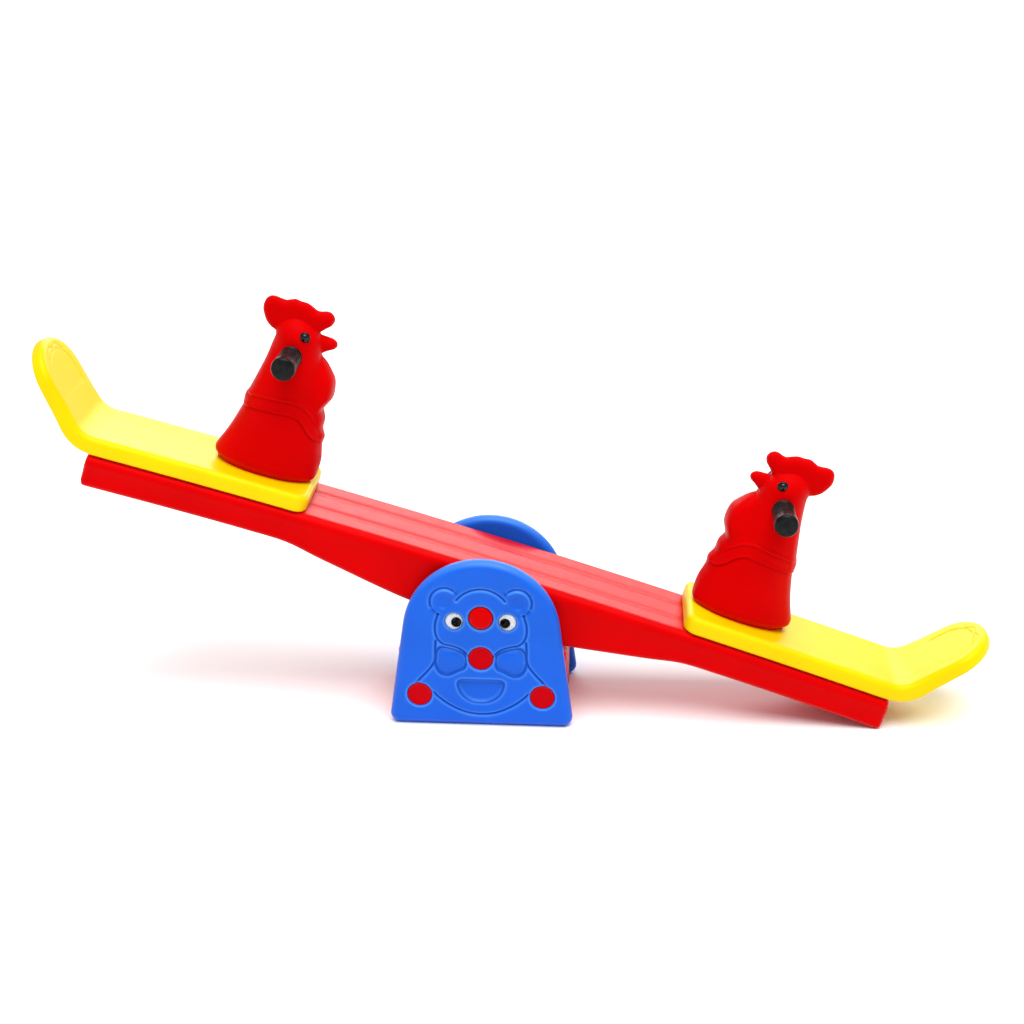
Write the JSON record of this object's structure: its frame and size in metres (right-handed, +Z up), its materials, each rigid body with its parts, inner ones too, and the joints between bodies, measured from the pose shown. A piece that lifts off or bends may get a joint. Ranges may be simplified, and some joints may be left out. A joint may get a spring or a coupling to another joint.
{
  "type": "seesaw",
  "caption": "Low plastic seesaw: a hollow beam with backrest seats and rooster handle posts rocks on an axle between bear-face side panels.",
  "frame": {"origin": "on the floor, in the middle of the base block's underside, straight below the rocking axis", "axes": "+X along the beam towards the end that rests on the floor, -Y towards the front panel, +Z up"},
  "size_m": [1.7746, 0.281, 0.7875],
  "materials": {
    "red_plastic": "satin moulded polyethylene",
    "yellow_plastic": "satin moulded polyethylene",
    "blue_plastic": "satin moulded polyethylene",
    "cap_plastic": "satin moulded",
    "grip_rubber": "moulded ribs",
    "zinc_steel": "zinc plated",
    "nylon": "natural nylon",
    "eye_white": "gloss",
    "clear_dome": "clear polystyrene",
    "pupil_black": "gloss",
    "eye_black": "gloss"
  },
  "bodies": {
    "base": {"front_panel": "blue_plastic", "rear_panel": "blue_plastic", "base_core": "red_plastic", "pivot_axle": "zinc_steel", "axle_nut_front": "zinc_steel", "axle_nut_rear": "zinc_steel", "tie_bolt_mid": "zinc_steel", "tie_nut_mid": "zinc_steel", "tie_bolt_left": "zinc_steel", "tie_nut_left": "zinc_steel", "tie_bolt_right": "zinc_steel", "tie_nut_right": "zinc_steel", "nose_cap_front": "cap_plastic", "cap_mid_front": "cap_plastic", "cap_left_front": "cap_plastic", "cap_right_front": "cap_plastic", "eye_cup_left_front": "eye_white", "eye_dome_left_front": "clear_dome", "eye_cup_right_front": "eye_white", "eye_dome_right_front": "clear_dome", "nose_cap_rear": "cap_plastic", "cap_mid_rear": "cap_plastic", "cap_left_rear": "cap_plastic", "cap_right_rear": "cap_plastic", "eye_cup_left_rear": "eye_white", "eye_dome_left_rear": "clear_dome", "eye_cup_right_rear": "eye_white", "eye_dome_right_rear": "clear_dome"},
    "beam": {"beam_shell": "red_plastic", "steel_spine": "zinc_steel", "pivot_sleeve": "zinc_steel", "pivot_bush_rear": "nylon", "pivot_bush_front": "nylon", "seat_right": "yellow_plastic", "rooster_right": "red_plastic", "handlebar_right": "zinc_steel", "grip_right_rear": "grip_rubber", "rooster_eye_right_rear": "eye_black", "seat_bolt_right_rear": "zinc_steel", "rooster_bolt_right_rear": "zinc_steel", "grip_right_front": "grip_rubber", "rooster_eye_right_front": "eye_black", "seat_bolt_right_front": "zinc_steel", "rooster_bolt_right_front": "zinc_steel", "seat_left": "yellow_plastic", "rooster_left": "red_plastic", "handlebar_left": "zinc_steel", "grip_left_rear": "grip_rubber", "rooster_eye_left_rear": "eye_black", "seat_bolt_left_rear": "zinc_steel", "rooster_bolt_left_rear": "zinc_steel", "grip_left_front": "grip_rubber", "rooster_eye_left_front": "eye_black", "seat_bolt_left_front": "zinc_steel", "rooster_bolt_left_front": "zinc_steel"},
    "pupil_left_front_disc": {"pupil_left_front": "pupil_black"},
    "pupil_right_front_disc": {"pupil_right_front": "pupil_black"},
    "pupil_left_rear_disc": {"pupil_left_rear": "pupil_black"},
    "pupil_right_rear_disc": {"pupil_right_rear": "pupil_black"}
  },
  "joints": [
    {"name": "seesaw_tilt", "type": "hinge", "parent": "base", "child": "beam", "pos_m": [0, 0, 0.219], "axis": [0, -1, 0], "range_deg": [0, 33.66]},
    {"name": "pupil_left_front_roll", "type": "hinge", "parent": "base", "child": "pupil_left_front_disc", "pos_m": [-0.0495, -0.1331, 0.212], "axis": [0, -1, 0], "continuous": true},
    {"name": "pupil_right_front_roll", "type": "hinge", "parent": "base", "child": "pupil_right_front_disc", "pos_m": [0.0495, -0.1331, 0.212], "axis": [0, -1, 0], "continuous": true},
    {"name": "pupil_left_rear_roll", "type": "hinge", "parent": "base", "child": "pupil_left_rear_disc", "pos_m": [-0.0495, 0.1331, 0.212], "axis": [0, -1, 0], "continuous": true},
    {"name": "pupil_right_rear_roll", "type": "hinge", "parent": "base", "child": "pupil_right_rear_disc", "pos_m": [0.0495, 0.1331, 0.212], "axis": [0, -1, 0], "continuous": true}
  ]
}
